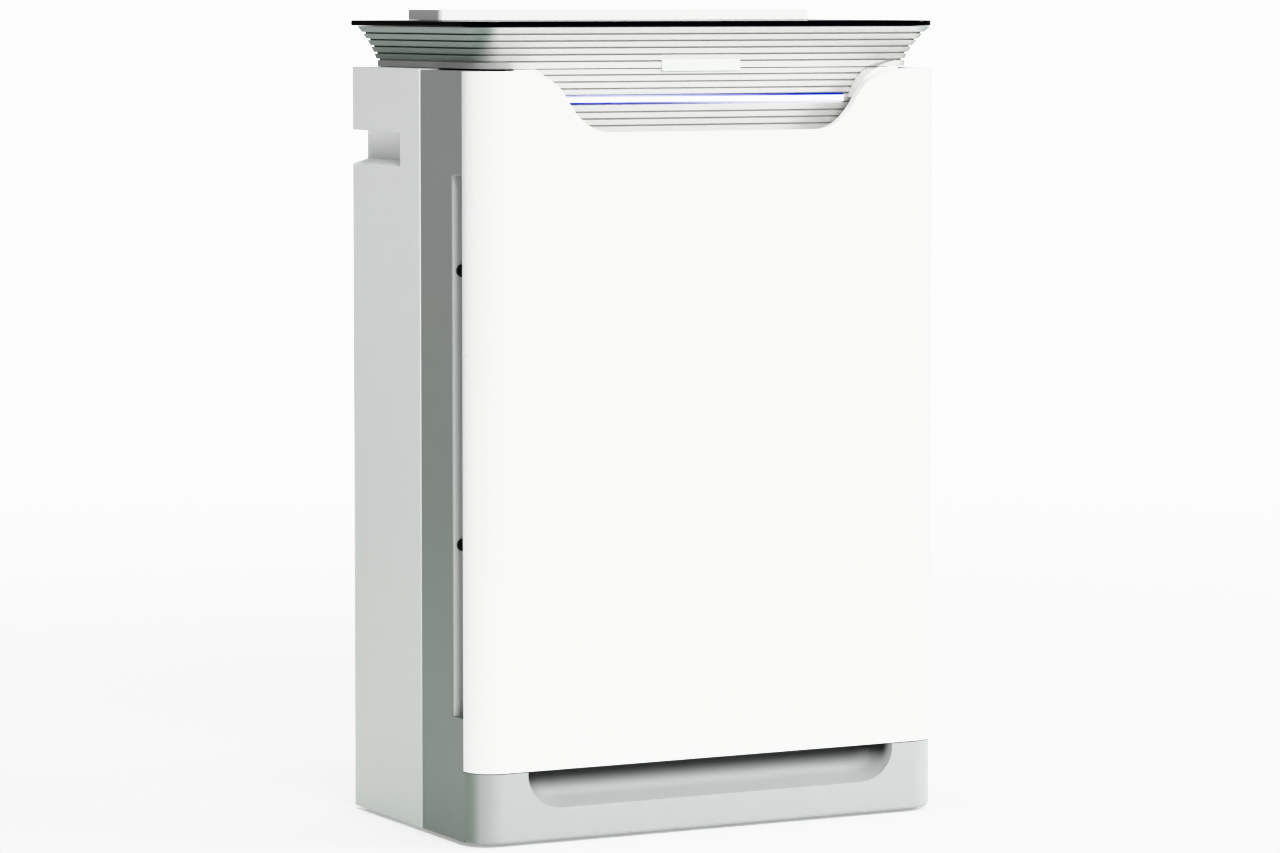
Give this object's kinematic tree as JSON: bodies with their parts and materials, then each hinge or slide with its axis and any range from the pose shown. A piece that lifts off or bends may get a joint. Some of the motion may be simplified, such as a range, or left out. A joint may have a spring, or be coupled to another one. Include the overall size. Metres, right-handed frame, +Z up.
{
  "type": "air purifier",
  "caption": "Floor-standing air purifier: rounded upright cabinet, clip-on front panel over a filter bay, fan, flared ribbed head with glass top and raised air outlet.",
  "frame": {"origin": "on the floor, under the middle of the object's box", "axes": "+Z up, +Y towards the back, +X to the right of a person facing the front panel"},
  "size_m": [0.418, 0.234, 0.6499],
  "materials": {
    "white_shell": "smooth white moulding, soft gloss",
    "white_moulding": "plain moulding",
    "grey_shell": "satin mid-grey moulding",
    "pale_shell": "satin pale grey moulding",
    "ribbed_trim": "pearl grey ribbed moulding",
    "light_diffuser": "frosted diffuser, lit white and blue",
    "display_label": "smooth pale window",
    "black_glass": "back-painted black toughened glass",
    "black_rubber": "matt",
    "steel": "zinc-plated",
    "motor_can": "pressed and painted can",
    "circuit_board": "solder mask",
    "inner_moulding": "plain inner moulding",
    "black_moulding": "fine texture",
    "prefilter_frame": "fine texture",
    "prefilter_mesh": "woven nylon mesh",
    "filter_board": "coated board",
    "filter_paper": "pleated fibre paper",
    "carbon_granules": "granules in a honeycomb",
    "pull_tape": "woven tape",
    "lamp_glass": "clear quartz tube"
  },
  "bodies": {
    "cabinet": {"middle_frame": "grey_shell", "buffer_left_lower": "black_rubber", "buffer_left_upper": "black_rubber", "buffer_right_lower": "black_rubber", "buffer_right_upper": "black_rubber", "rear_shell": "pale_shell", "rear_screw_left_1": "steel", "rear_screw_left_2": "steel", "rear_screw_left_3": "steel", "rear_screw_right_1": "steel", "rear_screw_right_2": "steel", "rear_screw_right_3": "steel", "cord_gland": "black_rubber", "collar": "ribbed_trim", "fascia_surround": "white_shell", "light_bar": "light_diffuser", "light_board": "circuit_board", "display_window": "display_label", "top_glass": "black_glass", "control_board": "circuit_board", "outlet_frame": "white_shell", "outlet_grille": "white_shell", "outlet_duct": "inner_moulding", "bay_grille": "inner_moulding", "scroll": "inner_moulding", "inlet_ring": "inner_moulding", "fan_guard": "black_moulding", "motor_bracket": "steel", "motor_body": "motor_can", "uv_lamp": "lamp_glass", "uv_socket_left": "white_moulding", "uv_socket_right": "white_moulding", "ioniser": "white_moulding", "power_board": "circuit_board", "dust_sensor": "black_moulding", "safety_switch": "black_moulding", "base_plate": "grey_shell", "foot_front_left": "black_rubber", "foot_front_right": "black_rubber", "foot_back_left": "black_rubber", "foot_back_right": "black_rubber"},
    "panel": {"front_panel": "white_shell", "switch_peg": "white_moulding", "panel_clip_left": "white_moulding", "panel_clip_right": "white_moulding", "panel_peg_left": "white_moulding", "panel_peg_right": "white_moulding"},
    "prefilter": {"prefilter_frame": "prefilter_frame", "prefilter_mesh": "prefilter_mesh"},
    "filter_cartridge": {"hepa_frame": "filter_board", "hepa_pleats": "filter_paper", "carbon_frame": "filter_board", "carbon_core": "carbon_granules", "filter_tab_left": "pull_tape", "filter_tab_right": "pull_tape"},
    "fan_rotor": {"fan_wheel": "white_moulding", "motor_shaft": "steel", "shaft_nut": "steel"},
    "plunger": {"switch_plunger": "white_moulding"}
  },
  "joints": [
    {"name": "panel_pull", "type": "slide", "parent": "cabinet", "child": "panel", "axis": [0, -1, 0], "range_m": [0, 0.3]},
    {"name": "prefilter_pull", "type": "slide", "parent": "cabinet", "child": "prefilter", "axis": [0, -1, 0], "range_m": [0, 0.18]},
    {"name": "cartridge_pull", "type": "slide", "parent": "cabinet", "child": "filter_cartridge", "axis": [0, -1, 0], "range_m": [0, 0.1]},
    {"name": "plunger_travel", "type": "slide", "parent": "cabinet", "child": "plunger", "axis": [0, -1, 0], "range_m": [0, 0.0025]},
    {"name": "fan_spin", "type": "hinge", "parent": "cabinet", "child": "fan_rotor", "pos_m": [0, 0.06, 0.33], "axis": [0, 1, 0], "continuous": true}
  ],
  "couplings": [
    {"joint": "prefilter_pull", "follows": "panel_pull", "ratio": 0.6},
    {"joint": "cartridge_pull", "follows": "panel_pull", "ratio": 0.333},
    {"joint": "plunger_travel", "follows": "panel_pull", "ratio": 0.0083}
  ]
}
